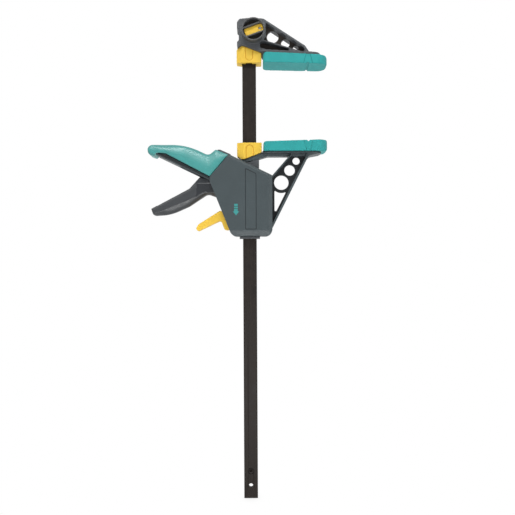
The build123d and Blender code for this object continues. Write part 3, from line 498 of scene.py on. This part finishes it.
def fixed_pad_shade(x, y, z, normal):
    """Painted shade line where the fixed pad meets its plate."""
    seat = FIXED_SEAT - FIXED_SEAT_SLOPE * (x - PAD_MIDDLE)
    return plate_side(x, y, normal) and z < seat + FIXED_RIM


def moving_pad_shade(x, y, z, normal):
    """Painted shade line where the moving pad meets its plate, wider at its near end."""
    wider = max(0.0, (RIM_WIDE_END - x) / RIM_WIDE_RUN)
    return plate_side(x, y, normal) and z > MOVING_SEAT - MOVING_RIM - wider


# Painted shade on the floor of the knob's recess.
def knob_floor(x, y, z, normal):
    return y > KNOB_FLOOR and normal.y < -0.8


# Painted shade on the lever's sunk panel and on its neck under the body.
def lever_panel(x, y, z, normal):
    neck_x, neck_z = TRIGGER_NECK
    return looks_sideways(normal, 0.8) and (in_panel(x, z) or x > neck_x and z > neck_z)


def tongue_mark(x, y, z, normal):
    """Walls of the U-shaped mark on the spacer, which get painted shade."""
    return abs(x - MARK_X) < MARK_HALF and MARK_DEPTHS[0] < abs(y) < MARK_DEPTHS[1]


def facet_edges(face, back):
    """Edges of the pad's V-shaped facets, which narrow from the clamping face to the back; painted
    shade lines run along them.
    """
    low, high = sorted([(face, FACET_HALF_FACE), (back, FACET_HALF_BACK)])

    def on_edge(x, y, z, normal):
        half = np.interp(z, (low[0], high[0]), (low[1], high[1]))
        return abs(y) > PAD_SIDE and abs(abs(x - FACET_X) - half) < FACET_LINE
    return on_edge


# ---------------------------------------------------------------- outlines
def rounded(corners, radius):
    """Closed outline with curved corners."""
    points = []
    steps = 6
    befores, afters = corners[-1:] + corners[:-1], corners[1:] + corners[:1]
    for before, corner, after in zip(befores, corners, afters):
        middle = Vector(corner)
        start = middle + (Vector(before) - middle).normalized() * radius
        end = middle + (Vector(after) - middle).normalized() * radius
        for step in range(steps + 1):
            share = step / steps
            points.append(start.lerp(middle, share).lerp(middle.lerp(end, share), share))
    return points


def panel_corners(inset):
    """Corners of the body's shallow front panel, moved inwards."""
    left, right, low = PANEL_LEFT + inset, PANEL_RIGHT - inset, PANEL_LOW + inset
    left_top, right_top = [
        PANEL_TOP - (x - PANEL_LEFT) * math.tan(BODY_SLOPE) - inset / math.cos(BODY_SLOPE)
        for x in (left, right)]
    return [(left, low), (right, low), (right, right_top), (left, left_top)]


def circle(x, z, radius):
    steps = [math.radians(10 * step) for step in range(36)]
    return [(x + radius * math.cos(angle), z + radius * math.sin(angle)) for angle in steps]


# ---------------------------------------------------------------- the pieces
housing = moulded("housing", "housing_shell", BODY, voxel=0.55, rounds=2, keep=0.4)
rear_cover = moulded("rear_cover", "rear_shell", BODY, voxel=0.6, rounds=2,
                     keep=0.35)
jaw = moulded("fixed_jaw", "jaw_casting", JAW, voxel=0.5, rounds=3, keep=0.4)
knob = moulded("lock_knob", "knob_ring", KNOB, voxel=0.35, rounds=3, keep=0.6)
moulded("knob_insert", "knob_index", INDEX_YELLOW, voxel=0.3, rounds=2)
for spacer_node, spacer_name in (("fixed_spacer", "upper_spacer"),
                                 ("moving_spacer", "lower_spacer")):
    spacer = moulded(spacer_node, spacer_name, YELLOW, voxel=0.3, rounds=2,
                     keep=0.6)
    # painted shade on the walls of the tongue mark
    zone(spacer, GROOVE_SHADE, tongue_mark)
moulded("lower_guide", "collar", JAW, voxel=0.4, rounds=3)
moulded("upper_guide", "bar_guide", JAW, voxel=0.5, rounds=3)
moulded("release_lever", "release_tab", YELLOW, voxel=0.5, rounds=8)
trigger = moulded("trigger", "trigger_lever", LEVER, voxel=0.7, rounds=8)
grip = moulded("grip_cover", "grip_overmould", GRIP, voxel=0.6, rounds=9)
for pad_node, pad_name, face_z, back_z in (("fixed_pad", "upper_jaw_pad", LOWERED, FIXED_SEAT),
                                           ("moving_pad", "lower_jaw_pad", 0.0, MOVING_SEAT)):
    pad = moulded(pad_node, pad_name, PAD, voxel=0.5, rounds=4)
    # painted shade along the facet edges
    zone(pad, PAD_FACET_SHADE, facet_edges(face_z, back_z))
plain("bar", "flat_bar", BAR)
plain("stop_screw", "end_stop", BAR)
plain("direction_arrow", "arrow_inlay", ARROW)

for handle_piece in (housing, rear_cover, grip):
    reshape(handle_piece, waist)
reshape(trigger, belly)

# Painted shade in the recesses, under the grip, on the lever's panel and where the pads meet their
# plates.
zone(housing, WEB_SHADE, bracket_web)
for shell in (housing, rear_cover):
    zone(shell, WEB_SHADE, handle_strip)
zone(jaw, RECESS_SHADE, jaw_web)
zone(jaw, PAD_SEAT_SHADE, fixed_pad_shade)
zone(housing, PAD_SEAT_SHADE, moving_pad_shade)
zone(knob, RECESS_SHADE, knob_floor)
zone(trigger, LEVER_SHADE, lever_panel)

# Painted shade line round the body's shallow front panel.
shade_ring("panel_shade_line", rounded(panel_corners(0.0), 2.0), rounded(panel_corners(PANEL_SHADE_WIDTH), 1.5),
     PANEL_FRONT, "housing", WEB_SHADE)
# Painted shadow ring round the stop screw's head.
shadow_outer, shadow_inner = [circle(0.0, SCREW_Z, radius) for radius in SCREW_RIM]
shade_ring("stop_screw_shadow_ring", shadow_outer, shadow_inner, SCREW_FRONT, "bar", SHADOW)

paint(STEEL, "cover_screws", "lock_spindle", "spindle_clip", "drive_plate_upper",
      "drive_plate_lower", "drive_spring", "spring_seat", "brake_plate", "brake_spring",
      "trigger_pin", "release_pin", "fulcrum_pin")
# painted shade on the insert screw
paint(SCREW_SHADE_STEEL, "insert_screw")


# ---------------------------------------------------------------- floor, light and camera
WHITE = (1.0, 1.0, 1.0, 1.0)


def set_ramp(ramp, low, high, to_low, to_high):
    ramp.inputs["From Min"].default_value = low
    ramp.inputs["From Max"].default_value = high
    ramp.inputs["To Min"].default_value = to_low
    ramp.inputs["To Max"].default_value = to_high


def white_where_seen(tree, seen, otherwise):
    """First shader for camera, glossy and transmission rays, the other for the rest."""
    nodes, links = tree.nodes, tree.links
    path = nodes.new("ShaderNodeLightPath")
    total = path.outputs["Is Camera Ray"]
    for other in ("Is Glossy Ray", "Is Transmission Ray"):
        add = nodes.new("ShaderNodeMath")
        add.operation = "MAXIMUM"
        links.new(total, add.inputs[0])
        links.new(path.outputs[other], add.inputs[1])
        total = add.outputs[0]
    mix = nodes.new("ShaderNodeMixShader")
    links.new(total, mix.inputs[0])
    links.new(otherwise, mix.inputs[1])
    links.new(seen, mix.inputs[2])
    return mix.outputs[0]


def make_floor(height):
    """Wide white floor with a soft shadow close under the object, painted from ambient occlusion
    into its white glow.
    """
    data = bpy.data.meshes.new("floor")
    reach = 6.0
    data.from_pydata([(-reach, -reach, height), (reach, -reach, height), (reach, reach, height),
                      (-reach, reach, height)], [], [(0, 1, 2, 3)])
    material = bpy.data.materials.new("floor_white")
    material.use_nodes = True
    tree = material.node_tree
    tree.nodes.remove(tree.nodes["Principled BSDF"])
    shade = tree.nodes.new("ShaderNodeAmbientOcclusion")
    shade.inputs["Distance"].default_value = 0.03
    ramp = tree.nodes.new("ShaderNodeMapRange")
    set_ramp(ramp, 0.2, 0.9, 0.8, 1.0)
    tree.links.new(shade.outputs["AO"], ramp.inputs["Value"])
    glow = tree.nodes.new("ShaderNodeEmission")
    tree.links.new(ramp.outputs["Result"], glow.inputs["Strength"])
    matte = tree.nodes.new("ShaderNodeBsdfDiffuse")
    matte.inputs["Color"].default_value = (0.8, 0.8, 0.8, 1.0)
    out = white_where_seen(tree, glow.outputs[0], matte.outputs[0])
    tree.links.new(out, tree.nodes["Material Output"].inputs["Surface"])
    add_piece("floor", data, material)


def make_world(front, sides):
    """Even light from all round, weaker from the front, so that recesses stay dark."""
    world = bpy.data.worlds.new("studio")
    bpy.context.scene.world = world
    world.use_nodes = True
    tree = world.node_tree
    light = tree.nodes["Background"]
    light.inputs["Color"].default_value = WHITE
    towards = tree.nodes.new("ShaderNodeTexCoord")
    split = tree.nodes.new("ShaderNodeSeparateXYZ")
    tree.links.new(towards.outputs["Generated"], split.inputs[0])
    ramp = tree.nodes.new("ShaderNodeMapRange")
    ramp.interpolation_type = "SMOOTHSTEP"
    set_ramp(ramp, -0.95, -0.2, front, sides)
    tree.links.new(split.outputs["Y"], ramp.inputs["Value"])
    tree.links.new(ramp.outputs["Result"], light.inputs["Strength"])
    white = tree.nodes.new("ShaderNodeBackground")
    white.inputs["Color"].default_value = WHITE
    white.inputs["Strength"].default_value = 1.0
    out = white_where_seen(tree, white.outputs[0], light.outputs[0])
    tree.links.new(out, tree.nodes["World Output"].inputs["Surface"])


def make_lamp(name, place, target, width, height, power):
    data = bpy.data.lights.new(name, "AREA")
    data.shape = "RECTANGLE"
    data.size = width
    data.size_y = height
    data.energy = power
    lamp = bpy.data.objects.new(name, data)
    bpy.context.scene.collection.objects.link(lamp)
    lamp.location = place
    lamp.visible_camera = False
    lamp.rotation_euler = (Vector(target) - Vector(place)).to_track_quat("-Z", "Y").to_euler()


def make_camera(place, roll, focal):
    """Level camera that looks along +Y; the roll is in degrees."""
    data = bpy.data.cameras.new("camera")
    data.lens = focal
    data.sensor_width = 36
    data.clip_start = 0.01
    data.clip_end = 20
    camera = bpy.data.objects.new("camera", data)
    bpy.context.scene.collection.objects.link(camera)
    camera.matrix_world = (Matrix.Translation(place)
                           @ Matrix.Rotation(math.radians(90), 4, "X")
                           @ Matrix.Rotation(math.radians(roll), 4, "Z"))
    bpy.context.scene.camera = camera


FLOOR_GAP = 0.0005
MIDDLE = (-0.06, 0.0, -0.2)
make_floor(cad_box[0].z - FLOOR_GAP)
make_world(front=0.25, sides=0.72)
make_lamp("top_left", (-1.1, -1.0, 1.0), MIDDLE, width=0.9, height=0.9, power=4)
make_lamp("top", (-0.15, -0.75, 0.75), (-0.12, 0.0, -0.13), width=0.5, height=0.25, power=5.5)
make_lamp("top_right", (0.4, -0.45, 0.75), MIDDLE, width=0.3, height=0.3, power=1.8)
make_lamp("low_front", (-0.06, -0.52, -0.6), (-0.06, 0.0, -0.25), width=0.5, height=0.12, power=2.0)
make_lamp("right", (0.75, -0.75, -0.1), MIDDLE, width=0.3, height=0.3, power=0.8)
make_camera((-0.0559, -0.8408, -0.2798), roll=-0.28, focal=40)
bpy.context.scene.view_settings.view_transform = "Standard"
